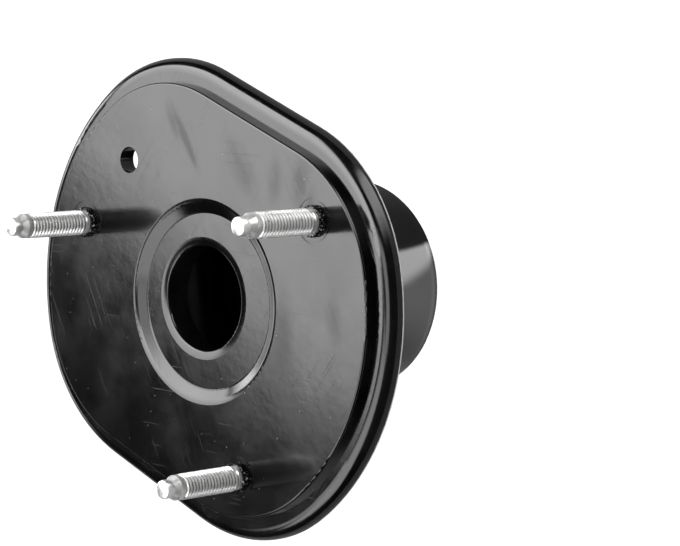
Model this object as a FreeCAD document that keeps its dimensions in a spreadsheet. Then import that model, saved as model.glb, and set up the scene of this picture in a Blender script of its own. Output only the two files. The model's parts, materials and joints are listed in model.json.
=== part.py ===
import FreeCAD, Part
import Sketcher
import math
import os

# Strut mount: two pressed steel sheets, three press-in studs, and inside the cup a rubber
# bush with a steel sleeve for the damper rod. Millimetres, +Z along the studs. The origin
# is on the hole's axis in the flat top face, and +X runs along the flats towards the two
# studs that stand together.

doc = FreeCAD.newDocument("StrutMount")
sheet = doc.addObject("Spreadsheet::Sheet", "Sizes")

driving_sizes = {
    # top plate: round ends, two flats, blended corners
    "plate_radius": 71.0,
    "plate_flat": 59.1,
    "plate_corner": 45.0,
    "top_sheet": 3.0,
    "top_edge_round": 0.7,
    # shallow round recess, a little off the hole's axis, and the collar turned down inside it
    "recess_offset": 2.1,
    "recess_radius": 27.2,
    "recess_depth": 1.9,
    "recess_slope": 28.0,
    "recess_outer_round": 3.4,
    "recess_inner_round": 1.2,
    "hole_radius": 16.2,
    "collar_roll": 9.0,
    "collar_roll_angle": 14.0,
    "collar_round": 0.9,
    "collar_wall": 1.8,
    "collar_root": 1.0,
    "collar_length": 8.6,
    # lower housing: flange, turned-down rim and deep-drawn cup
    "lower_sheet": 2.5,
    "rim_width": 7.6,
    "rim_bend": 4.2,
    "rim_lip": 0.6,
    "cup_radius": 34.0,
    "cup_depth": 76.5,
    "cup_corner": 7.0,
    "cup_mouth_bend": 4.5,
    "floor_hole_radius": 17.0,
    # studs: head, splined shoulder, thread and dog point
    "stud_circle": 56.3,
    "stud_angle": 50.0,
    "stud_head_radius": 6.5,
    "stud_head_height": 2.5,
    "stud_head_round": 0.8,
    "shoulder_radius": 4.8,
    "shoulder_height": 1.8,
    "shoulder_chamfer": 0.3,
    "tooth_count": 24,
    "tooth_depth": 0.4,
    "thread_radius": 4.0,
    "thread_length": 26.0,
    "thread_lead": 1.8,
    "neck_radius": 2.75,
    "neck_length": 1.0,
    "dog_radius": 2.95,
    "dog_length": 2.8,
    "dog_chamfer": 0.6,
    "stud_gap": 0.05,
    # ring marked in the top plate by the stud press
    "coin_radius": 7.0,
    "coin_width": 0.9,
    "coin_depth": 0.2,
    # locating hole through both sheets
    "locating_circle": 52.4,
    "locating_angle": 149.3,
    "locating_radius": 4.15,
    # rubber bush
    "bush_height": 28.0,
    "bush_gap": 0.2,
    "bush_groove_inner": 20.0,
    "bush_groove_outer": 27.5,
    "bush_groove_depth": 12.0,
    "bush_groove_round": 3.0,
    # sleeve for the damper rod
    "sleeve_bore": 6.1,
    "sleeve_radius": 11.0,
    "sleeve_flange_radius": 17.5,
    "sleeve_flange_height": 3.0,
    "sleeve_inset": 1.0,
    "sleeve_chamfer": 0.6,
}

for row, (alias, number) in enumerate(driving_sizes.items(), start=1):
    sheet.set(f"A{row}", alias)
    sheet.set(f"B{row}", str(number))
    sheet.setAlias(f"B{row}", alias)
doc.recompute()


class Measure:
    # a length or angle worked out from the sheet, as its number and as its formula

    def __init__(self, number, formula):
        self.number = number
        self.formula = formula

    def __add__(self, other):
        other = measure(other)
        return Measure(self.number + other.number, f"({self.formula} + {other.formula})")

    def __sub__(self, other):
        other = measure(other)
        return Measure(self.number - other.number, f"({self.formula} - {other.formula})")

    def __mul__(self, other):
        other = measure(other)
        return Measure(self.number * other.number, f"({self.formula} * {other.formula})")

    def __truediv__(self, other):
        other = measure(other)
        return Measure(self.number / other.number, f"({self.formula} / {other.formula})")

    def __neg__(self):
        return Measure(-self.number, f"(-1 * {self.formula})")


def measure(item):
    return item if isinstance(item, Measure) else Measure(float(item), str(item))


def size(alias):
    return Measure(float(sheet.get(alias)), f"Sizes.{alias}")


def sine(angle):
    return Measure(math.sin(math.radians(angle.number)), f"sin({angle.formula})")


def cosine(angle):
    return Measure(math.cos(math.radians(angle.number)), f"cos({angle.formula})")


def root(item):
    return Measure(math.sqrt(item.number), f"sqrt({item.formula})")


zero = measure(0)


def new_body(label):
    body = doc.addObject("PartDesign::Body", label)
    body.Label = label
    return body


def new_sketch(body, name, role, offset=zero):
    # a sketch on one of the body's own origin planes, raised by offset
    plane = next(item for item in body.Origin.OriginFeatures if item.Role == role)
    sketch = body.newObject("Sketcher::SketchObject", name)
    sketch.AttachmentSupport = [(plane, "")]
    sketch.MapMode = "FlatFace"
    sketch.setExpression("AttachmentOffset.Base.z", offset.formula)
    return sketch


def dimension(sketch, value, kind, *places):
    index = sketch.addConstraint(Sketcher.Constraint(kind, *places, value.number))
    sketch.setExpression(f"Constraints[{index}]", value.formula)


def hold_point(sketch, curve, end, point):
    # holds a curve's end, or a circle's centre, at its distances from the origin
    for kind, axis, value in (("DistanceX", -2, point[0]), ("DistanceY", -1, point[1])):
        if value.number == 0:
            sketch.addConstraint(Sketcher.Constraint("PointOnObject", curve, end, axis))
        else:
            dimension(sketch, value, kind, -1, 1, curve, end)


def draw_circle(sketch, centre, radius):
    middle = FreeCAD.Vector(centre[0].number, centre[1].number, 0)
    curve = sketch.addGeometry(Part.Circle(middle, FreeCAD.Vector(0, 0, 1), radius.number))
    hold_point(sketch, curve, 3, centre)
    dimension(sketch, radius, "Radius", curve)


def arc_between(start, end, radius, clockwise):
    # the shorter arc of a radius from start to end
    chord = end - start
    side = FreeCAD.Vector(-chord.y, chord.x, 0).normalize()
    rise = math.sqrt(max(radius**2 - (chord.Length / 2) ** 2, 0))
    centre = (start + end) / 2 + side * (-rise if clockwise else rise)
    first, last = (end, start) if clockwise else (start, end)
    angles = [math.atan2(point.y - centre.y, point.x - centre.x) for point in (first, last)]
    circle = Part.Circle(centre, FreeCAD.Vector(0, 0, 1), radius)
    return Part.ArcOfCircle(circle, angles[0], angles[1])


def draw_outline(sketch, steps):
    # Closed outline. Each step is a corner point and what leads on from it: nothing for a
    # straight edge, or the radius and turn of an arc.
    ends = []
    for index, (point, *bend) in enumerate(steps):
        following = steps[(index + 1) % len(steps)][0]
        start = FreeCAD.Vector(point[0].number, point[1].number, 0)
        end = FreeCAD.Vector(following[0].number, following[1].number, 0)
        if bend:
            radius, turn = bend
            curve = sketch.addGeometry(arc_between(start, end, radius.number, turn == "clockwise"))
            dimension(sketch, radius, "Radius", curve)
            order = (2, 1) if turn == "clockwise" else (1, 2)
        else:
            curve = sketch.addGeometry(Part.LineSegment(start, end))
            order = (1, 2)
        hold_point(sketch, curve, order[0], point)
        ends.append((curve, *order))
    for index, (curve, _, last) in enumerate(ends):
        next_curve, first, _ = ends[(index + 1) % len(ends)]
        sketch.addConstraint(Sketcher.Constraint("Coincident", curve, last, next_curve, first))


def pad(body, name, sketch, length):
    # solid below the sketch
    feature = body.newObject("PartDesign::Pad", name)
    feature.Profile = sketch
    feature.Reversed = True
    feature.setExpression("Length", length.formula)
    doc.recompute()
    return feature


def pocket(body, name, sketch, length, upward=False):
    # takes material away below the sketch, or above it
    before = body.Shape.Volume
    feature = body.newObject("PartDesign::Pocket", name)
    feature.Profile = sketch
    feature.Reversed = upward
    feature.setExpression("Length", length.formula)
    doc.recompute()
    if body.Shape.Volume >= before:
        raise RuntimeError(f"{name} cuts nothing")
    return feature


def revolve(body, name, sketch):
    feature = body.newObject("PartDesign::Revolution", name)
    feature.Profile = sketch
    feature.ReferenceAxis = (sketch, ["V_Axis"])
    feature.Angle = 360
    doc.recompute()
    return feature


def round_edges(body, name, base, height, radius):
    # rounds every edge that lies level at a height
    level = height.number
    edges = [
        f"Edge{number}"
        for number, edge in enumerate(base.Shape.Edges, start=1)
        if abs(edge.BoundBox.ZMin - level) < 1e-6 and abs(edge.BoundBox.ZMax - level) < 1e-6
    ]
    feature = body.newObject("PartDesign::Fillet", name)
    feature.Base = (base, edges)
    feature.setExpression("Radius", radius.formula)
    doc.recompute()
    return feature


# Outline of both sheets. The corner arcs meet the flats and the round ends smoothly, so
# their centres serve for every offset of the outline.
corner_y = size("plate_flat") - size("plate_corner")
corner_reach = size("plate_radius") - size("plate_corner")
corner_x = root(corner_reach * corner_reach - corner_y * corner_y)


def draw_plate_outline(sketch, offset):
    flat = size("plate_flat") + offset
    corner = size("plate_corner") + offset
    end = size("plate_radius") + offset
    end_x = corner_x * end / corner_reach
    end_y = corner_y * end / corner_reach
    draw_outline(sketch, [
        ((corner_x, flat), corner, "clockwise"),
        ((end_x, end_y), end, "clockwise"),
        ((end_x, -end_y), corner, "clockwise"),
        ((corner_x, -flat),),
        ((-corner_x, -flat), corner, "clockwise"),
        ((-end_x, -end_y), end, "clockwise"),
        ((-end_x, end_y), corner, "clockwise"),
        ((-corner_x, flat),),
    ])


stud_places = {
    "stud_1": (-size("stud_circle"), zero),
    "stud_2": (size("stud_circle") * cosine(size("stud_angle")),
               size("stud_circle") * sine(size("stud_angle"))),
    "stud_3": (size("stud_circle") * cosine(size("stud_angle")),
               -size("stud_circle") * sine(size("stud_angle"))),
}
stud_hole_radius = size("shoulder_radius") + size("stud_gap")
locating_place = (size("locating_circle") * cosine(size("locating_angle")),
                  size("locating_circle") * sine(size("locating_angle")))

flange_top = -size("top_sheet")
flange_bottom = flange_top - size("lower_sheet")
cup_bottom = -size("cup_depth")
cup_inner_radius = size("cup_radius") - size("lower_sheet")
cup_floor = cup_bottom + size("lower_sheet")
bush_top = cup_floor + size("bush_height")


def cut_sheet_holes(body, name, top, thickness):
    sketch = new_sketch(body, f"{name}Holes", "XY_Plane", top)
    for place in stud_places.values():
        draw_circle(sketch, place, stud_hole_radius)
    draw_circle(sketch, locating_place, size("locating_radius"))
    pocket(body, f"{name}HoleCut", sketch, thickness)


def make_top_plate():
    body = new_body("top_plate")
    blank = new_sketch(body, "PlateOutline", "XY_Plane")
    draw_plate_outline(blank, zero)
    plate = pad(body, "Plate", blank, size("top_sheet"))
    round_edges(body, "PlateEdge", plate, zero, size("top_edge_round"))

    # pressed wall of the recess, in the plane of the axis: top skin, then underside
    slope_sine = sine(size("recess_slope"))
    slope_cosine = cosine(size("recess_slope"))
    slope_drop = measure(1) - slope_cosine
    thickness = size("top_sheet")
    outer = size("recess_outer_round")
    inner = size("recess_inner_round")
    straight_drop = size("recess_depth") - (outer + inner) * slope_drop
    straight_run = straight_drop * slope_cosine / slope_sine
    recess_start = size("recess_radius") + (outer + inner) * slope_sine + straight_run
    recess_floor = -size("recess_depth")
    under_outer = outer - thickness
    under_inner = inner + thickness

    floor_under = recess_floor - thickness
    offset = size("recess_offset")
    opening = new_sketch(body, "RecessBlank", "XY_Plane")
    draw_circle(opening, (offset, zero), recess_start)
    pocket(body, "RecessBlankCut", opening, thickness)
    section = new_sketch(body, "RecessSection", "XZ_Plane")
    section.setExpression("AttachmentOffset.Base.x", offset.formula)
    draw_outline(section, [
        ((recess_start, zero), outer, "counterclockwise"),
        ((recess_start - outer * slope_sine, -outer * slope_drop),),
        ((size("recess_radius") + inner * slope_sine, recess_floor + inner * slope_drop),
         inner, "clockwise"),
        ((size("recess_radius"), recess_floor),),
        ((zero, recess_floor),),
        ((zero, floor_under),),
        ((size("recess_radius"), floor_under), under_inner, "counterclockwise"),
        ((size("recess_radius") + under_inner * slope_sine, floor_under + under_inner * slope_drop),),
        ((recess_start - under_outer * slope_sine, -thickness - under_outer * slope_drop),
         under_outer, "clockwise"),
        ((recess_start, -thickness),),
    ])
    revolve(body, "Recess", section)

    # the floor rolls over gently towards the hole, then turns down sharply
    hole = size("hole_radius")
    roll = size("collar_roll")
    roll_sine = sine(size("collar_roll_angle"))
    roll_cosine = cosine(size("collar_roll_angle"))
    turn_round = size("collar_round")
    turn_start = hole + turn_round * (measure(1) - roll_sine)
    turn_height = recess_floor - roll * (measure(1) - roll_cosine)
    roll_start = turn_start + roll * roll_sine
    collar_outside = hole + size("collar_wall")
    collar_end = recess_floor - size("collar_length")
    collar_root = size("collar_root")
    mouth = new_sketch(body, "CollarBlank", "XY_Plane", recess_floor)
    draw_circle(mouth, (zero, zero), roll_start)
    pocket(body, "CollarBlankCut", mouth, thickness)
    collar = new_sketch(body, "CollarSection", "XZ_Plane")
    draw_outline(collar, [
        ((roll_start, recess_floor), roll, "counterclockwise"),
        ((turn_start, turn_height), turn_round, "counterclockwise"),
        ((hole, turn_height - turn_round * roll_cosine),),
        ((hole, collar_end),),
        ((collar_outside, collar_end),),
        ((collar_outside, floor_under - collar_root), collar_root, "clockwise"),
        ((collar_outside + collar_root, floor_under),),
        ((roll_start, floor_under),),
    ])
    revolve(body, "Collar", collar)
    cut_sheet_holes(body, "Plate", zero, thickness)

    rings = new_sketch(body, "CoinRings", "XY_Plane")
    for place in stud_places.values():
        draw_circle(rings, place, size("coin_radius"))
        draw_circle(rings, place, size("coin_radius") - size("coin_width"))
    pocket(body, "CoinRingCut", rings, size("coin_depth"))
    return body


def make_lower_housing():
    body = new_body("lower_housing")
    rim_height = size("rim_bend") + size("rim_lip")
    blank = new_sketch(body, "FlangeOutline", "XY_Plane", flange_top)
    draw_plate_outline(blank, size("rim_width"))
    flange = pad(body, "Flange", blank, rim_height)
    round_edges(body, "RimBend", flange, flange_top, size("rim_bend"))

    # the channel under the flange, inside the turned-down rim
    channel = new_sketch(body, "ChannelOutline", "XY_Plane", flange_top - rim_height)
    draw_plate_outline(channel, size("rim_width") - size("lower_sheet"))
    hollow = pocket(body, "Channel", channel, rim_height - size("lower_sheet"), upward=True)
    round_edges(body, "RimInnerBend", hollow, flange_bottom, size("rim_bend") - size("lower_sheet"))

    mouth = size("cup_mouth_bend")
    mouth_radius = cup_inner_radius + mouth
    opening = new_sketch(body, "MouthOutline", "XY_Plane", flange_top)
    draw_circle(opening, (zero, zero), mouth_radius)
    pocket(body, "MouthCut", opening, size("lower_sheet"))

    # drawn cup: inner skin from the mouth to the floor hole, then the outer skin back up
    corner = size("cup_corner")
    inner_corner = corner - size("lower_sheet")
    wall = new_sketch(body, "CupSection", "XZ_Plane")
    draw_outline(wall, [
        ((mouth_radius, flange_top), mouth, "counterclockwise"),
        ((cup_inner_radius, flange_top - mouth),),
        ((cup_inner_radius, cup_floor + inner_corner), inner_corner, "clockwise"),
        ((cup_inner_radius - inner_corner, cup_floor),),
        ((size("floor_hole_radius"), cup_floor),),
        ((size("floor_hole_radius"), cup_bottom),),
        ((size("cup_radius") - corner, cup_bottom), corner, "counterclockwise"),
        ((size("cup_radius"), cup_bottom + corner),),
        ((size("cup_radius"), flange_top - mouth), mouth - size("lower_sheet"), "clockwise"),
        ((mouth_radius, flange_bottom),),
    ])
    revolve(body, "Cup", wall)
    cut_sheet_holes(body, "Flange", flange_top, size("lower_sheet"))
    return body


def make_stud(label, place):
    # modelled about its own axis, with the top plate's upper face at zero height
    body = new_body(label)
    head = size("stud_head_radius")
    head_round = size("stud_head_round")
    head_bottom = flange_bottom - size("stud_head_height")
    shoulder = size("shoulder_radius")
    shoulder_top = size("shoulder_height")
    chamfer = size("shoulder_chamfer")
    thread = size("thread_radius")
    thread_end = shoulder_top + size("thread_length")
    neck_end = thread_end + size("neck_length")
    dog_end = neck_end + size("dog_length")
    dog_chamfer = size("dog_chamfer")
    section = new_sketch(body, f"{label}_section", "XZ_Plane")
    draw_outline(section, [
        ((zero, head_bottom),),
        ((head - head_round, head_bottom), head_round, "counterclockwise"),
        ((head, head_bottom + head_round),),
        ((head, flange_bottom),),
        ((shoulder, flange_bottom),),
        ((shoulder, shoulder_top - chamfer),),
        ((shoulder - chamfer, shoulder_top),),
        ((thread, shoulder_top),),
        ((thread, thread_end - size("thread_lead")),),
        ((size("neck_radius"), thread_end),),
        ((size("neck_radius"), neck_end),),
        ((size("dog_radius"), neck_end),),
        ((size("dog_radius"), dog_end - dog_chamfer),),
        ((size("dog_radius") - dog_chamfer, dog_end),),
        ((zero, dog_end),),
    ])
    revolve(body, f"{label}_turned", section)

    # splines of the shoulder, with flanks at 45 degrees, from the head up
    depth = size("tooth_depth")
    notch = new_sketch(body, f"{label}_notch", "XY_Plane", flange_bottom)
    draw_outline(notch, [
        ((shoulder - depth, zero),),
        ((shoulder + depth, -depth - depth),),
        ((shoulder + depth, depth + depth),),
    ])
    cut = pocket(body, f"{label}_notch_cut", notch, shoulder_top - flange_bottom, upward=True)
    splines = body.newObject("PartDesign::PolarPattern", f"{label}_splines")
    splines.Originals = [cut]
    splines.Axis = (notch, ["N_Axis"])
    splines.Angle = 360
    splines.setExpression("Occurrences", size("tooth_count").formula)
    body.Tip = splines
    body.setExpression("Placement.Base.x", place[0].formula)
    body.setExpression("Placement.Base.y", place[1].formula)
    return body


def make_rubber_bush():
    body = new_body("rubber_bush")
    outside = cup_inner_radius - size("bush_gap")
    corner = size("cup_corner") - size("lower_sheet")
    inside = size("sleeve_radius") + size("bush_gap")
    groove_inner = size("bush_groove_inner")
    groove_outer = size("bush_groove_outer")
    groove_floor = bush_top - size("bush_groove_depth")
    bend = size("bush_groove_round")
    section = new_sketch(body, "BushSection", "XZ_Plane")
    draw_outline(section, [
        ((inside, cup_floor),),
        ((outside - corner, cup_floor), corner, "counterclockwise"),
        ((outside, cup_floor + corner),),
        ((outside, bush_top),),
        ((groove_outer, bush_top),),
        ((groove_outer, groove_floor + bend), bend, "clockwise"),
        ((groove_outer - bend, groove_floor),),
        ((groove_inner + bend, groove_floor), bend, "clockwise"),
        ((groove_inner, groove_floor + bend),),
        ((groove_inner, bush_top),),
        ((inside, bush_top),),
    ])
    revolve(body, "Bush", section)
    return body


def make_rod_sleeve():
    body = new_body("rod_sleeve")
    bore = size("sleeve_bore")
    outside = size("sleeve_radius")
    flange = size("sleeve_flange_radius")
    bottom = cup_bottom + size("sleeve_inset")
    top = bush_top + size("sleeve_flange_height")
    chamfer = size("sleeve_chamfer")
    section = new_sketch(body, "SleeveSection", "XZ_Plane")
    draw_outline(section, [
        ((bore + chamfer, bottom),),
        ((outside - chamfer, bottom),),
        ((outside, bottom + chamfer),),
        ((outside, bush_top),),
        ((flange, bush_top),),
        ((flange, top - chamfer),),
        ((flange - chamfer, top),),
        ((bore + chamfer, top),),
        ((bore, top - chamfer),),
        ((bore, bottom + chamfer),),
    ])
    revolve(body, "Sleeve", section)
    return body


pieces = [make_top_plate(), make_lower_housing()]
pieces += [make_stud(label, place) for label, place in stud_places.items()]
pieces += [make_rubber_bush(), make_rod_sleeve()]
doc.recompute()

for item in doc.Objects:
    if "Invalid" in item.State or "Error" in item.State:
        raise RuntimeError(f"{item.Name} did not build: {item.State}")
for piece in pieces:
    if piece.Shape.isNull() or not piece.Shape.isValid():
        raise RuntimeError(f"{piece.Label} has no valid solid")

os.makedirs("parts", exist_ok=True)
for piece in pieces:
    piece.Shape.exportStep(f"parts/{piece.Label}.step")
    box = piece.Shape.BoundBox
    print(f"{piece.Label}: {len(piece.Shape.Solids)} solid, {piece.Shape.Volume:.0f} mm3, "
          f"{box.XLength:.1f} x {box.YLength:.1f} x {box.ZLength:.1f}")
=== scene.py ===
import bpy
import bmesh
import json
import math
from mathutils import Matrix, Vector

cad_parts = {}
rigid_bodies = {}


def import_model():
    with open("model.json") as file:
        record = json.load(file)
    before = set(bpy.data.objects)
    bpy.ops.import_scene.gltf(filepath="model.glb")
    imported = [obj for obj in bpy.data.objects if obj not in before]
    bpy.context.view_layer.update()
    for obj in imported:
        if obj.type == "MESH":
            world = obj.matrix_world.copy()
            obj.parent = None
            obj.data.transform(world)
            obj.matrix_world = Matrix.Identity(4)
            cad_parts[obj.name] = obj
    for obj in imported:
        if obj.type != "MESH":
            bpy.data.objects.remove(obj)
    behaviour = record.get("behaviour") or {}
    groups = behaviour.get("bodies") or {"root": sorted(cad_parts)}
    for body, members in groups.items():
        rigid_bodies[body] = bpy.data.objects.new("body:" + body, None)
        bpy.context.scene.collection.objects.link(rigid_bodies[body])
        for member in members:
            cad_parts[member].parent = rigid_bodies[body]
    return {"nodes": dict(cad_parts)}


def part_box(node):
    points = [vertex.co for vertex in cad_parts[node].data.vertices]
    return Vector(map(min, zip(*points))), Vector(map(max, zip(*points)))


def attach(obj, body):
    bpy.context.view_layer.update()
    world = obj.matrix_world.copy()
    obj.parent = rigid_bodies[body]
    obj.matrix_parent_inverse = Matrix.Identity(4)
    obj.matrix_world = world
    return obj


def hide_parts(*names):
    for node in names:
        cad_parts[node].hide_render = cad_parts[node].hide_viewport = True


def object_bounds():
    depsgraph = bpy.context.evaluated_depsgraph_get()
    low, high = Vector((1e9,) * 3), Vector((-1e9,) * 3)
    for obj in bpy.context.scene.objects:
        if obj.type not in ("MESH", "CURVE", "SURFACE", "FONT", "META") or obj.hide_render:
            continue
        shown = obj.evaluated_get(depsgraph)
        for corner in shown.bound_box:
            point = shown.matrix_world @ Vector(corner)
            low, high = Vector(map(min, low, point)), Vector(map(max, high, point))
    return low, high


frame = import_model()
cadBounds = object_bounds()
cadNodes = frame["nodes"]
mm = 0.001
print("frame loaded,", len(cadNodes), "nodes")


def clearScene():
    for thing in list(bpy.data.objects):
        if thing.type in ("LIGHT", "CAMERA"):
            bpy.data.objects.remove(thing)


clearScene()


# finishes

def newFinish(name):
    finish = bpy.data.materials.new(name)
    finish.use_nodes = True
    tree = finish.node_tree
    return finish, tree, tree.nodes["Principled BSDF"]


def addNode(tree, kind, inputs=None, **options):
    node = tree.nodes.new(kind)
    for option, value in options.items():
        setattr(node, option, value)
    for socket, value in (inputs or {}).items():
        if isinstance(value, bpy.types.NodeSocket):
            tree.links.new(value, node.inputs[socket])
        else:
            node.inputs[socket].default_value = value
    return node


def calc(tree, operation, first, second=0.0):
    return addNode(tree, "ShaderNodeMath", {0: first, 1: second}, operation=operation).outputs[0]


def fade(tree, value, low, high, outLow=0.0, outHigh=1.0):
    inputs = {"Value": value, "From Min": low, "From Max": high, "To Min": outLow, "To Max": outHigh}
    return addNode(tree, "ShaderNodeMapRange", inputs, interpolation_type="SMOOTHSTEP").outputs[0]


def noise(tree, place, scale, detail=3.0, roughness=0.5):
    inputs = {"Vector": place, "Scale": scale, "Detail": detail, "Roughness": roughness}
    return addNode(tree, "ShaderNodeTexNoise", inputs).outputs["Fac"]


def moved(tree, place, centre=(0, 0, 0), turn=0.0, stretch=(1, 1, 1)):
    inputs = {"Vector": place, "Location": centre, "Rotation": (0, 0, turn), "Scale": stretch}
    return addNode(tree, "ShaderNodeMapping", inputs, vector_type="TEXTURE").outputs[0]


def blendColour(tree, share, first, second):
    node = addNode(tree, "ShaderNodeMix", data_type="RGBA")
    wanted = (("Factor", "VALUE", share), ("A", "RGBA", first), ("B", "RGBA", second))
    for name, kind, value in wanted:
        target = [socket for socket in node.inputs if socket.name == name and socket.type == kind][0]
        if isinstance(value, bpy.types.NodeSocket):
            tree.links.new(value, target)
        else:
            target.default_value = value
    return [socket for socket in node.outputs if socket.type == "RGBA"][0]


def finishSurface(tree, shader, colour, rough, bump):
    tree.links.new(colour, shader.inputs["Base Color"])
    tree.links.new(rough, shader.inputs["Roughness"])
    tree.links.new(bump.outputs[0], shader.inputs["Normal"])


paintLook = {
    "colour": (0.002, 0.002, 0.0021, 1),
    "dustColour": (0.42, 0.42, 0.41, 1),
    "bareAndGlintColour": (0.80, 0.80, 0.79, 1),
    "roughness": 0.115,
    "roughnessSpread": 0.045,
    "cloudScale": 45.0,
    "film": 0.02,
    "peelScale": 330.0,
    "peelDepth": 0.000012,
    "scratchTurns": (0.35, 1.3, 2.4),
    "scratchSize": (0.03, 0.00035, 0.01),
    "scratchFrom": (0.70, 0.76),
    "scratchDepth": 0.00001,
    "scratchStrength": 0.6,
    "scratchRoughness": 0.06,
    "dustCells": 170.0,
    "dustSize": 0.026,
    "dustShare": 0.72,
    "dustRoughness": 0.5,
    "wipeTurn": -0.75,
    "wipeStreaks": (0.012, 0.0025, 0.01),
    "wipeRoughness": 0.26,
    "wipeFilm": 0.02,
    "rawScale": 420.0,
    "rawFrom": (0.28, 0.34),
    "rawRoughness": 0.2,
    "rawMetallic": 0.4,
    # pale specks on the stud shoulder: chipped paint and painted glints
    "chipAndGlintScale": 1500.0,
    "chipAndGlintFrom": (0.62, 0.70),
    "chipAndGlintRoughness": 0.3,
    # faint wiped marks on the top plate: middle in mm, half length and half width, turn, strength
    "wipes": [
        (-24.9, 44.1, 17.0, 2.6, -36.7, 1.0),
        (-20.0, 40.5, 9.0, 1.8, -38.0, 1.0),
        (-31.0, 46.0, 10.0, 2.4, -41.0, 0.6),
        (2.0, 45.5, 16.0, 6.5, -33.0, 0.7),
        (26.5, 52.0, 12.5, 5.2, -74.0, 0.85),
        (16.5, 47.5, 12.0, 4.6, -72.0, 0.6),
        (33.0, 46.0, 10.0, 4.0, -78.0, 0.6),
        (37.0, 6.0, 24.0, 6.0, -68.0, 0.35),
        (54.0, 20.0, 12.0, 5.0, -60.0, 0.3),
        (48.0, -14.0, 14.0, 7.0, -30.0, 0.3),
    ],
}


def wipedMarks(tree, place):
    look = paintLook
    smeared = moved(tree, place, turn=look["wipeTurn"], stretch=look["wipeStreaks"])
    patchy = fade(tree, noise(tree, smeared, 1.0, 4.0), 0.2, 0.6, 0.35, 1.0)
    wiped = 0.0
    for x, y, length, width, turn, strength in look["wipes"]:
        spot = moved(tree, place, (x * mm, y * mm, 0), math.radians(turn), (length * mm, width * mm, 1))
        glow = addNode(tree, "ShaderNodeTexGradient", {0: spot}, gradient_type="SPHERICAL").outputs["Fac"]
        mark = calc(tree, "MULTIPLY", fade(tree, glow, 0.0, 1.0), strength)
        wiped = calc(tree, "MAXIMUM", wiped, mark)
    return calc(tree, "MULTIPLY", wiped, patchy)


def dustSpecks(tree, place):
    look = paintLook
    inputs = {"Vector": place, "Scale": look["dustCells"]}
    cells = addNode(tree, "ShaderNodeTexVoronoi", inputs, voronoi_dimensions="2D").outputs
    chosen = addNode(tree, "ShaderNodeSeparateColor", {0: cells["Color"]}).outputs
    size = fade(tree, chosen[1], 0.0, 1.0, 0.3 * look["dustSize"], look["dustSize"])
    speck = calc(tree, "LESS_THAN", cells["Distance"], size)
    return calc(tree, "MULTIPLY", speck, calc(tree, "GREATER_THAN", chosen[0], look["dustShare"]))


def fineScratches(tree, place):
    scratches = 0.0
    for turn in paintLook["scratchTurns"]:
        streaks = noise(tree, moved(tree, place, turn=turn, stretch=paintLook["scratchSize"]), 1.0, 2.0)
        scratches = calc(tree, "MAXIMUM", scratches, fade(tree, streaks, *paintLook["scratchFrom"]))
    return scratches


def paintFinish(name, rawEdge=None, chipsAndGlints=False):
    look = paintLook
    finish, tree, shader = newFinish(name)
    place = addNode(tree, "ShaderNodeTexCoord").outputs["Object"]
    facing = addNode(tree, "ShaderNodeNewGeometry").outputs["Normal"]
    onTop = fade(tree, addNode(tree, "ShaderNodeSeparateXYZ", {0: facing}).outputs["Z"], 0.9, 0.99)
    wiped = calc(tree, "MULTIPLY", wipedMarks(tree, place), onTop)
    dust = calc(tree, "MULTIPLY", dustSpecks(tree, place), onTop)
    scratches = fineScratches(tree, place)

    cloud = noise(tree, place, look["cloudScale"], 5.0, 0.6)
    smooth = look["roughness"] - 0.3 * look["roughnessSpread"]
    rough = fade(tree, cloud, 0.3, 0.7, smooth, look["roughness"] + look["roughnessSpread"])
    for wear, amount in ((wiped, "wipeRoughness"), (dust, "dustRoughness"), (scratches, "scratchRoughness")):
        rough = calc(tree, "ADD", rough, calc(tree, "MULTIPLY", wear, look[amount]))
    film = fade(tree, cloud, 0.35, 0.8, 0.0, look["film"])
    film = calc(tree, "ADD", film, calc(tree, "MULTIPLY", wiped, look["wipeFilm"]))
    colour = blendColour(tree, film, look["colour"], look["dustColour"])
    colour = blendColour(tree, dust, colour, look["dustColour"])

    if rawEdge:
        # the cut edge at the back of the rim is bare
        ragged = noise(tree, place, look["rawScale"], 3.0)
        level = addNode(tree, "ShaderNodeSeparateXYZ", {0: place}).outputs["Z"]
        height = calc(tree, "ADD", level, calc(tree, "MULTIPLY", ragged, -rawEdge["ragged"]))
        below = calc(tree, "LESS_THAN", height, rawEdge["top"])
        above = calc(tree, "GREATER_THAN", level, rawEdge["bottom"])
        edge = calc(tree, "MULTIPLY", below, above)
        paleMask = calc(tree, "MULTIPLY", edge, fade(tree, ragged, *look["rawFrom"]))
        colour = blendColour(tree, paleMask, colour, look["bareAndGlintColour"])
        rough = calc(tree, "ADD", rough, calc(tree, "MULTIPLY", paleMask, look["rawRoughness"]))
        tree.links.new(calc(tree, "MULTIPLY", paleMask, look["rawMetallic"]), shader.inputs["Metallic"])
    # pale specks: partly chipped paint showing bare metal, partly painted glints on the spline teeth
    if chipsAndGlints:
        paleMask = fade(tree, noise(tree, place, look["chipAndGlintScale"], 2.0), *look["chipAndGlintFrom"])
        colour = blendColour(tree, paleMask, colour, look["bareAndGlintColour"])
        rough = calc(tree, "ADD", rough, calc(tree, "MULTIPLY", paleMask, look["chipAndGlintRoughness"]))

    peel = noise(tree, place, look["peelScale"], 2.0)
    peel = addNode(tree, "ShaderNodeBump", {"Height": peel, "Distance": look["peelDepth"], "Strength": 1.0})
    inputs = {"Height": scratches, "Distance": look["scratchDepth"], "Strength": look["scratchStrength"]}
    marks = addNode(tree, "ShaderNodeBump", {**inputs, "Normal": peel.outputs[0]}, invert=True)
    finishSurface(tree, shader, colour, rough, marks)
    return finish


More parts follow.
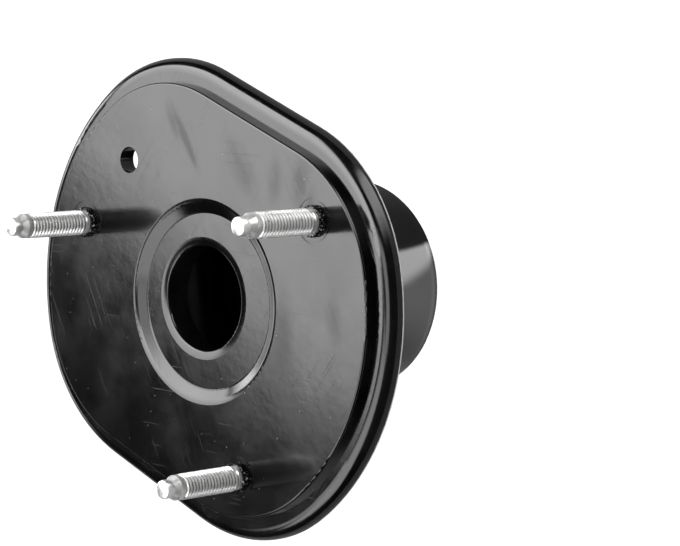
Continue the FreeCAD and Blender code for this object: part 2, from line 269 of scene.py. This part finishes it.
zincLook = {
    "colour": (0.87, 0.87, 0.86, 1),
    "dullColour": (0.62, 0.62, 0.61, 1),
    # painted shade for the roots of the thread
    "rootShadeColour": (0.26, 0.26, 0.26, 1),
    "metallic": 0.74,
    "roughness": (0.26, 0.42),
    "grainScale": 900.0,
    "grainDepth": 0.00002,
    "grainStrength": 0.3,
    "blotchScale": 500.0,
    "grooveFrom": 3.30,
    "grooveTo": 3.85,
}


def zincFinish():
    finish, tree, shader = newFinish("zincPlate")
    place = addNode(tree, "ShaderNodeTexCoord").outputs["Object"]
    depth = addNode(tree, "ShaderNodeAttribute", attribute_name="threadReach").outputs["Fac"]
    blotches = noise(tree, place, zincLook["blotchScale"], 4.0, 0.65)
    colour = blendColour(tree, fade(tree, blotches, 0.55, 0.85), zincLook["colour"], zincLook["dullColour"])
    # painted shade: the roots of the thread are darkened in colour
    groove = fade(tree, depth, zincLook["grooveTo"], zincLook["grooveFrom"])
    colour = blendColour(tree, groove, colour, zincLook["rootShadeColour"])
    rough = fade(tree, blotches, 0.3, 0.7, *zincLook["roughness"])
    grain = noise(tree, place, zincLook["grainScale"], 3.0)
    inputs = {"Height": grain, "Distance": zincLook["grainDepth"], "Strength": zincLook["grainStrength"]}
    finishSurface(tree, shader, colour, rough, addNode(tree, "ShaderNodeBump", inputs))
    shader.inputs["Metallic"].default_value = zincLook["metallic"]
    return finish


rubberLook = {
    "colour": (0.012, 0.012, 0.012, 1),
    "bloomColour": (0.035, 0.034, 0.033, 1),
    "bloomScale": 90.0,
    "roughness": (0.55, 0.8),
    "skinScale": 1500.0,
    "skinDepth": 0.00004,
    "skinStrength": 0.6,
}


def rubberFinish():
    look = rubberLook
    finish, tree, shader = newFinish("bushRubber")
    place = addNode(tree, "ShaderNodeTexCoord").outputs["Object"]
    bloom = noise(tree, place, look["bloomScale"], 5.0, 0.6)
    colour = blendColour(tree, fade(tree, bloom, 0.4, 0.8), look["colour"], look["bloomColour"])
    rough = fade(tree, bloom, 0.3, 0.7, *look["roughness"])
    skin = noise(tree, place, look["skinScale"], 2.0)
    inputs = {"Height": skin, "Distance": look["skinDepth"], "Strength": look["skinStrength"]}
    finishSurface(tree, shader, colour, rough, addNode(tree, "ShaderNodeBump", inputs))
    return finish


sleeveLook = {
    "colour": (0.50, 0.49, 0.48, 1),
    "stainColour": (0.30, 0.29, 0.27, 1),
    "stainScale": 140.0,
    "roughness": (0.28, 0.42),
    "ringScale": 4200.0,
    "ringDepth": 0.00003,
    "ringStrength": 0.7,
}


def sleeveFinish():
    look = sleeveLook
    finish, tree, shader = newFinish("sleeveSteel")
    place = addNode(tree, "ShaderNodeTexCoord").outputs["Object"]
    axes = addNode(tree, "ShaderNodeSeparateXYZ", {0: place}).outputs
    squares = [calc(tree, "MULTIPLY", axes[axis], axes[axis]) for axis in ("X", "Y")]
    reach = calc(tree, "SQRT", calc(tree, "ADD", *squares))
    # turning marks follow the lathe tool, across the faces and along the bore
    travel = addNode(tree, "ShaderNodeCombineXYZ", {"X": calc(tree, "ADD", reach, axes["Z"])}).outputs[0]
    rings = noise(tree, travel, look["ringScale"], 2.0)
    stain = noise(tree, place, look["stainScale"], 4.0)
    colour = blendColour(tree, fade(tree, stain, 0.4, 0.75), look["colour"], look["stainColour"])
    rough = fade(tree, stain, 0.3, 0.7, *look["roughness"])
    inputs = {"Height": rings, "Distance": look["ringDepth"], "Strength": look["ringStrength"]}
    finishSurface(tree, shader, colour, rough, addNode(tree, "ShaderNodeBump", inputs))
    shader.inputs["Metallic"].default_value = 1.0
    return finish


platePaint = paintFinish("platePaint")
housingPaint = paintFinish("housingPaint", {"bottom": -8.2 * mm, "top": -7.42 * mm, "ragged": 0.2 * mm})
studPaint = paintFinish("studPaint", chipsAndGlints=True)
zincPlate = zincFinish()
bushRubber = rubberFinish()
sleeveSteel = sleeveFinish()


def dress(node, finish):
    for slot in cadNodes[node].material_slots:
        slot.material = finish


dress("top_plate", platePaint)
dress("lower_housing", housingPaint)
dress("rubber_bush", bushRubber)
dress("rod_sleeve", sleeveSteel)
print("finishes made")


# studs: a splined press-in shoulder, a rolled thread and a dog point

studShape = {
    "headRadius": 6.5,
    "headHeight": 2.5,
    "headRound": 0.8,
    "shoulderRadius": 4.8,
    "shoulderTop": 1.8,
    "shoulderChamfer": 0.3,
    "shoulderTurn": 0.7,
    "teeth": 24,
    "toothDepth": 0.4,
    "sheets": 5.5,
    "neckRadius": 2.45,
    "neckLength": 0.9,
    "dogRadius": 2.85,
    "dogLength": 2.3,
    "dogRound": 0.7,
    "crestRadius": 3.98,
    "rootRadius": 3.32,
    "plainRadius": 3.72,
    "plainLength": 1.0,
    "pitch": 1.25,
    "threadSteps": 48,
    "leadRadius": 3.82,
    "leadPlain": 1.7,
    "leadChamfer": 1.6,
    "runOut": 1.2,
    "threadTop": 25.0,
    "sharpFrom": 32,
}


def smoothed(mesh, degrees):
    for face in mesh.polygons:
        face.use_smooth = True
    mesh.set_sharp_from_angle(angle=math.radians(degrees))


def studBody(shape):
    s = shape
    head = -s["sheets"] - s["headHeight"]
    under = -s["sheets"]
    top = s["shoulderTop"]
    neckTop = s["threadTop"] + s["leadPlain"] + s["leadChamfer"] + s["neckLength"]
    tip = neckTop + s["dogLength"]
    outline = [
        (0.0, head),
        (s["headRadius"] - s["headRound"], head),
        (s["headRadius"] - 0.3 * s["headRound"], head + 0.3 * s["headRound"]),
        (s["headRadius"], head + s["headRound"]),
        (s["headRadius"], under),
        (s["shoulderRadius"], under),
        (s["shoulderRadius"], top - s["shoulderChamfer"]),
        (s["shoulderRadius"] - s["shoulderChamfer"], top),
        (s["plainRadius"], top),
        (s["plainRadius"], top + s["plainLength"]),
        (s["rootRadius"], top + 1.6 * s["plainLength"]),
        (s["rootRadius"], s["threadTop"] - s["runOut"]),
        (s["leadRadius"], s["threadTop"]),
        (s["leadRadius"], s["threadTop"] + s["leadPlain"]),
        (s["neckRadius"], neckTop - s["neckLength"]),
        (s["neckRadius"], neckTop - 0.12),
        (s["dogRadius"], neckTop),
        (s["dogRadius"], tip - s["dogRound"]),
        (s["dogRadius"] - 0.3 * s["dogRound"], tip - 0.3 * s["dogRound"]),
        (s["dogRadius"] - s["dogRound"], tip),
        (0.0, tip),
    ]
    mesh = bmesh.new()
    corners = [mesh.verts.new((radius, 0, height)) for radius, height in outline]
    edges = [mesh.edges.new(pair) for pair in zip(corners, corners[1:])]
    turns = 4 * s["teeth"]
    bmesh.ops.spin(mesh, geom=corners + edges, cent=(0, 0, 0), axis=(0, 0, 1), angle=2 * math.pi,
                   steps=turns, use_merge=True)
    bmesh.ops.remove_doubles(mesh, verts=mesh.verts, dist=0.0005)
    # every other pair of steps sinks to the spline's root
    for corner in mesh.verts:
        reach = math.hypot(corner.co.x, corner.co.y)
        onShoulder = s["plainRadius"] + 0.2 < reach < s["shoulderRadius"] + 0.01
        if onShoulder and under - 0.01 < corner.co.z < top + 0.01:
            step = round(math.atan2(corner.co.y, corner.co.x) / (2 * math.pi / turns)) % 4
            if step > 1:
                corner.co.xy *= (reach - s["toothDepth"]) / reach
    return mesh


def studThread(shape):
    s = shape
    pitch = s["pitch"]
    bottom = s["shoulderTop"] + 0.6 * s["plainLength"]
    turns = math.ceil((s["threadTop"] - bottom) / pitch)
    around = s["threadSteps"]
    root = s["rootRadius"]
    crest = s["crestRadius"]
    # radius and share of the pitch
    ridge = [
        (root, 0.0),
        (root, 0.16),
        (crest - 0.06, 0.47),
        (crest, 0.53),
        (crest, 0.63),
        (crest - 0.06, 0.69),
        (root, 1.0),
    ]
    mesh = bmesh.new()
    corners = [mesh.verts.new((radius, 0, bottom + share * pitch)) for radius, share in ridge]
    edges = [mesh.edges.new(pair) for pair in zip(corners, corners[1:])]
    bmesh.ops.spin(mesh, geom=corners + edges, cent=(0, 0, 0), axis=(0, 0, 1), dvec=(0, 0, pitch / around),
                   angle=2 * math.pi * turns, steps=around * turns, use_merge=False)
    bmesh.ops.remove_doubles(mesh, verts=mesh.verts, dist=0.0005)
    # both ends run out into the body
    for corner in mesh.verts:
        reach = math.hypot(corner.co.x, corner.co.y)
        rise = min(1.0, max(0.0, (corner.co.z - bottom) / pitch))
        fall = min(1.0, max(0.0, (s["threadTop"] - corner.co.z) / s["runOut"]))
        limit = s["leadRadius"] - 0.1 + fall * (crest - s["leadRadius"] + 0.1)
        wanted = min(root - 0.15 + (reach - root + 0.15) * rise, limit)
        corner.co.xy *= wanted / reach
        corner.co.z = min(corner.co.z, s["threadTop"] + 0.3)
    bmesh.ops.holes_fill(mesh, edges=[edge for edge in mesh.edges if edge.is_boundary], sides=0)
    return mesh


def makeStud(number):
    node = "stud_%d" % number
    low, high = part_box(node)
    body = studBody(studShape)
    thread = studThread(studShape)
    scratch = bpy.data.meshes.new("scratch")
    thread.to_mesh(scratch)
    thread.free()
    body.from_mesh(scratch)
    bpy.data.meshes.remove(scratch)
    threadReach = body.verts.layers.float.new("threadReach")
    threadStart = studShape["shoulderTop"] + 1.2 * studShape["plainLength"]
    threadEnd = studShape["threadTop"] - 0.5 * studShape["runOut"]
    for corner in body.verts:
        threaded = threadStart < corner.co.z < threadEnd
        corner[threadReach] = corner.co.xy.length if threaded else studShape["crestRadius"]
    turn = Matrix.Rotation(studShape["shoulderTurn"] * number, 4, "Z")
    centre = Matrix.Translation(((low.x + high.x) / 2, (low.y + high.y) / 2, 0))
    bmesh.ops.recalc_face_normals(body, faces=body.faces)
    bmesh.ops.transform(body, matrix=centre @ Matrix.Scale(mm, 4) @ turn, verts=body.verts)
    data = bpy.data.meshes.new("threadedStud%d" % number)
    body.to_mesh(data)
    body.free()
    smoothed(data, studShape["sharpFrom"])
    data.materials.append(zincPlate)
    data.materials.append(studPaint)
    # only the shoulder is black
    painted = (studShape["shoulderTop"] + 0.03) * mm
    for face in data.polygons:
        face.material_index = 1 if face.center.z < painted else 0
    piece = bpy.data.objects.new("threadedStud%d" % number, data)
    bpy.context.scene.collection.objects.link(piece)
    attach(piece, "root")
    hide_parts(node)


for number in (1, 2, 3):
    makeStud(number)
print("studs made")


# studio

floorLook = {
    "size": 8.0,
    "gap": 0.00002,
    "colour": (0.90, 0.90, 0.90, 1),
    "paleColour": (0.94, 0.94, 0.94, 1),
    "mottleScale": 3.0,
    "roughness": 0.9,
    "specular": 0.1,
    "seenWhite": 0.93,
}


def makeFloor():
    mesh = bmesh.new()
    bmesh.ops.create_grid(mesh, x_segments=1, y_segments=1, size=floorLook["size"])
    bmesh.ops.translate(mesh, vec=(0, 0, cadBounds[0][2] - floorLook["gap"]), verts=mesh.verts)
    data = bpy.data.meshes.new("studioFloor")
    mesh.to_mesh(data)
    mesh.free()
    floor = bpy.data.objects.new("studioFloor", data)
    bpy.context.scene.collection.objects.link(floor)
    finish, tree, shader = newFinish("floorPaper")
    place = addNode(tree, "ShaderNodeTexCoord").outputs["Object"]
    mottle = noise(tree, place, floorLook["mottleScale"], 2.0)
    colour = blendColour(tree, mottle, floorLook["colour"], floorLook["paleColour"])
    tree.links.new(colour, shader.inputs["Base Color"])
    shader.inputs["Roughness"].default_value = floorLook["roughness"]
    shader.inputs["Specular IOR Level"].default_value = floorLook["specular"]
    # the paper is burnt out to white for the camera only, and keeps a faint shadow
    seen = addNode(tree, "ShaderNodeLightPath").outputs["Is Camera Ray"]
    shader.inputs["Emission Color"].default_value = (1, 1, 1, 1)
    tree.links.new(calc(tree, "MULTIPLY", seen, floorLook["seenWhite"]), shader.inputs["Emission Strength"])
    data.materials.append(finish)


def direction(azimuth, elevation):
    turn, rise = math.radians(azimuth), math.radians(elevation)
    return Vector((math.cos(turn) * math.cos(rise), math.sin(turn) * math.cos(rise), math.sin(rise)))


def facingPart(settings):
    # looks at the part from a direction, rolled about it
    towards = direction(settings["azimuth"], settings["elevation"])
    right = Vector((0, 0, 1)).cross(towards).normalized()
    up = towards.cross(right)
    pose = Matrix((right, up, towards)).transposed().to_4x4()
    pose = pose @ Matrix.Rotation(math.radians(settings.get("roll", 0)), 4, "Z")
    pose.translation = towards * settings["distance"]
    return pose


# azimuth and elevation as seen from the part, in degrees from +X, and brightness as radiance
studioLights = [
    {"name": "softBox", "azimuth": 176, "elevation": 48, "distance": 1.6, "width": 1.1, "height": 1.1,
     "brightness": 0.8},
    {"name": "cameraFill", "azimuth": 35, "elevation": 22, "distance": 1.8, "width": 1.2, "height": 0.8,
     "brightness": 4.2},
    {"name": "leftFill", "azimuth": 120, "elevation": 25, "distance": 1.8, "width": 0.9, "height": 0.9,
     "brightness": 2.8},
    {"name": "rightFill", "azimuth": -60, "elevation": 20, "distance": 1.8, "width": 0.9, "height": 0.9,
     "brightness": 2.8},
]


def addLight(settings):
    data = bpy.data.lights.new(settings["name"], "AREA")
    data.shape = "RECTANGLE"
    data.size = settings["width"]
    data.size_y = settings["height"]
    data.energy = settings["brightness"] * math.pi * settings["width"] * settings["height"]
    light = bpy.data.objects.new(settings["name"], data)
    light.matrix_world = facingPart(settings)
    light.visible_camera = False
    light.visible_glossy = False
    bpy.context.scene.collection.objects.link(light)


# Soft screens that the paint mirrors. Each side is where the glow ends, as a slope away from
# the screen's middle, and how softly it ends. The skew leans the lower side.
glossScreens = [
    {"name": "mainScreen", "azimuth": 178, "elevation": 50, "roll": 150.2, "distance": 1.6, "skew": 0.3,
     "left": (0.396, 0.03), "right": (0.78, 0.30), "down": (0.47, 0.12), "up": (0.64, 0.14),
     "glowLeft": 5.9, "glowRight": 9.0, "glowSpan": (-0.30, 0.25)},
    {"name": "lowScreen", "azimuth": -156, "elevation": 5, "roll": 0, "distance": 1.6, "skew": 0.0,
     "left": (0.45, 0.20), "right": (0.45, 0.20), "down": (0.09, 0.02), "up": (0.24, 0.08),
     "glowLeft": 6.5, "glowRight": 2.6, "glowSpan": (-0.24, -0.06)},
    {"name": "sideScreen", "azimuth": -84, "elevation": 60, "roll": 0, "distance": 1.6, "skew": 0.0,
     "left": (0.40, 0.16), "right": (0.40, 0.16), "down": (0.62, 0.26), "up": (0.42, 0.16),
     "glowLeft": 4.4, "glowRight": 4.4, "glowSpan": (-1.0, 1.0)},
    {"name": "roofScreen", "azimuth": 20, "elevation": 77, "roll": 0, "distance": 1.6, "skew": 0.0,
     "left": (0.34, 0.18), "right": (0.34, 0.18), "down": (0.30, 0.18), "up": (0.34, 0.18),
     "glowLeft": 3.4, "glowRight": 3.4, "glowSpan": (-1.0, 1.0)},
    {"name": "backScreen", "azimuth": -124, "elevation": 46, "roll": 0, "distance": 1.6, "skew": 0.0,
     "left": (0.10, 0.07), "right": (0.18, 0.10), "down": (0.16, 0.12), "up": (0.42, 0.14),
     "glowLeft": 2.8, "glowRight": 3.6, "glowSpan": (-0.1, 0.1)},
    {"name": "rimScreen", "azimuth": 76, "elevation": 0, "roll": 0, "distance": 0.22, "skew": 0.0,
     "left": (0.60, 0.40), "right": (0.16, 0.16), "down": (0.345, 0.02), "up": (0.90, 0.30),
     "glowLeft": 4.6, "glowRight": 4.6, "glowSpan": (-1.0, 1.0)},
]


def glowSurface(tree, strength, level):
    glow = addNode(tree, "ShaderNodeEmission", {"Color": (1, 1, 1, 1), "Strength": strength})
    clear = addNode(tree, "ShaderNodeBsdfTransparent")
    both = addNode(tree, "ShaderNodeMixShader", {0: level, 1: clear.outputs[0], 2: glow.outputs[0]})
    tree.links.new(both.outputs[0], tree.nodes["Material Output"].inputs["Surface"])


def mirroredOnly(screen):
    screen.visible_camera = False
    screen.visible_diffuse = False
    screen.visible_shadow = False
    screen.visible_transmission = False


def addScreen(settings):
    distance = settings["distance"]
    wide = max(settings["left"][0], settings["right"][0]) * distance
    tall = (max(settings["down"][0], settings["up"][0]) + settings["skew"] * wide / distance) * distance
    mesh = bmesh.new()
    bmesh.ops.create_grid(mesh, x_segments=1, y_segments=1, size=1)
    bmesh.ops.scale(mesh, vec=(wide, tall, 1), verts=mesh.verts)
    data = bpy.data.meshes.new(settings["name"])
    mesh.to_mesh(data)
    mesh.free()
    screen = bpy.data.objects.new(settings["name"], data)
    screen.matrix_world = facingPart(settings)
    bpy.context.scene.collection.objects.link(screen)
    finish, tree, shader = newFinish(settings["name"])
    tree.nodes.remove(shader)
    place = addNode(tree, "ShaderNodeTexCoord").outputs["Object"]
    axes = addNode(tree, "ShaderNodeSeparateXYZ", {0: place}).outputs
    across = calc(tree, "DIVIDE", axes["X"], distance)
    along = calc(tree, "DIVIDE", axes["Y"], distance)
    leaning = calc(tree, "ADD", along, calc(tree, "MULTIPLY", across, settings["skew"]))
    level = 1.0
    sides = (("left", across, -1), ("right", across, 1), ("down", leaning, -1), ("up", along, 1))
    for side, slope, sign in sides:
        reach, softness = settings[side]
        inside = fade(tree, calc(tree, "MULTIPLY", slope, sign), reach, reach - softness)
        level = calc(tree, "MULTIPLY", inside, level)
    strength = fade(tree, across, *settings["glowSpan"], settings["glowLeft"], settings["glowRight"])
    glowSurface(tree, strength, level)
    data.materials.append(finish)
    mirroredOnly(screen)


# a disc on the floor round the cup, for its wall to mirror, with the azimuths in degrees
cupGlow = {
    "radius": (0.082, 0.070),
    "lift": 0.0004,
    "darkFrom": (52.0, 48.5),
    "plain": 1.7,
    "plainFade": (-30.0, 18.0, 0.3, 1.0),
    "band": 4.6,
    "bandFade": (31.0, 41.0),
    "underCup": (0.0325, 0.0375, 0.15, 1.0),
    "bandLean": 880.0,
    "bandReach": 0.0417,
}


def addCupGlow(settings):
    mesh = bmesh.new()
    bmesh.ops.create_circle(mesh, cap_ends=True, segments=96, radius=settings["radius"][0])
    data = bpy.data.meshes.new("cupGlow")
    mesh.to_mesh(data)
    mesh.free()
    disc = bpy.data.objects.new("cupGlow", data)
    disc.location = (0, 0, cadBounds[0][2] + settings["lift"])
    bpy.context.scene.collection.objects.link(disc)
    finish, tree, shader = newFinish("cupGlow")
    tree.nodes.remove(shader)
    place = addNode(tree, "ShaderNodeTexCoord").outputs["Object"]
    axes = addNode(tree, "ShaderNodeSeparateXYZ", {0: place}).outputs
    reach = addNode(tree, "ShaderNodeVectorMath", {0: place}, operation="LENGTH").outputs["Value"]
    azimuth = calc(tree, "MULTIPLY", calc(tree, "ARCTAN2", axes["Y"], axes["X"]), math.degrees(1))
    lean = calc(tree, "MULTIPLY", calc(tree, "SUBTRACT", reach, settings["bandReach"]), settings["bandLean"])
    band = fade(tree, calc(tree, "ADD", azimuth, lean), *settings["bandFade"], 0.0, settings["band"])
    plain = calc(tree, "MULTIPLY", fade(tree, azimuth, *settings["plainFade"]), settings["plain"])
    lit = fade(tree, azimuth, *settings["darkFrom"], 0.03, 1.0)
    lit = calc(tree, "MULTIPLY", lit, fade(tree, reach, *settings["underCup"]))
    strength = calc(tree, "MULTIPLY", calc(tree, "ADD", band, plain), lit)
    glowSurface(tree, strength, fade(tree, reach, *settings["radius"]))
    data.materials.append(finish)
    mirroredOnly(disc)


worldLook = {"horizon": 0.03, "zenith": 0.06, "fadeFrom": 0.35, "fadeTo": 0.9}


def makeWorld():
    world = bpy.data.worlds.new("studioWorld")
    bpy.context.scene.world = world
    world.use_nodes = True
    tree = world.node_tree
    ground = tree.nodes["Background"]
    towards = addNode(tree, "ShaderNodeTexCoord").outputs["Generated"]
    height = addNode(tree, "ShaderNodeSeparateXYZ", {0: towards}).outputs["Z"]
    look = worldLook
    level = fade(tree, height, look["fadeFrom"], look["fadeTo"], look["horizon"], look["zenith"])
    seen = addNode(tree, "ShaderNodeLightPath").outputs["Is Camera Ray"]
    tree.links.new(calc(tree, "MAXIMUM", level, seen), ground.inputs["Strength"])
    ground.inputs["Color"].default_value = (1, 1, 1, 1)


photoCamera = {
    "place": (0.5279, 0.3011, 0.5649),
    "back": (0.6062, 0.3405, 0.7188),
    "up": (-0.4312, 0.9001, -0.0627),
    "focalPixels": 2692.0,
    "imageWidth": 680.0,
    "sensorWidth": 36.0,
}


def addCamera(settings):
    data = bpy.data.cameras.new("photoCamera")
    data.sensor_fit = "HORIZONTAL"
    data.sensor_width = settings["sensorWidth"]
    data.lens = settings["sensorWidth"] * settings["focalPixels"] / settings["imageWidth"]
    data.clip_start = 0.01
    camera = bpy.data.objects.new("photoCamera", data)
    back = Vector(settings["back"]).normalized()
    right = Vector(settings["up"]).cross(back).normalized()
    up = back.cross(right)
    pose = Matrix((right, up, back)).transposed().to_4x4()
    pose.translation = Vector(settings["place"])
    camera.matrix_world = pose
    bpy.context.scene.collection.objects.link(camera)
    bpy.context.scene.camera = camera


makeFloor()
makeWorld()
for settings in studioLights:
    addLight(settings)
addCupGlow(cupGlow)
for settings in glossScreens:
    addScreen(settings)
addCamera(photoCamera)
bpy.context.scene.view_settings.view_transform = "Standard"
print("studio made")
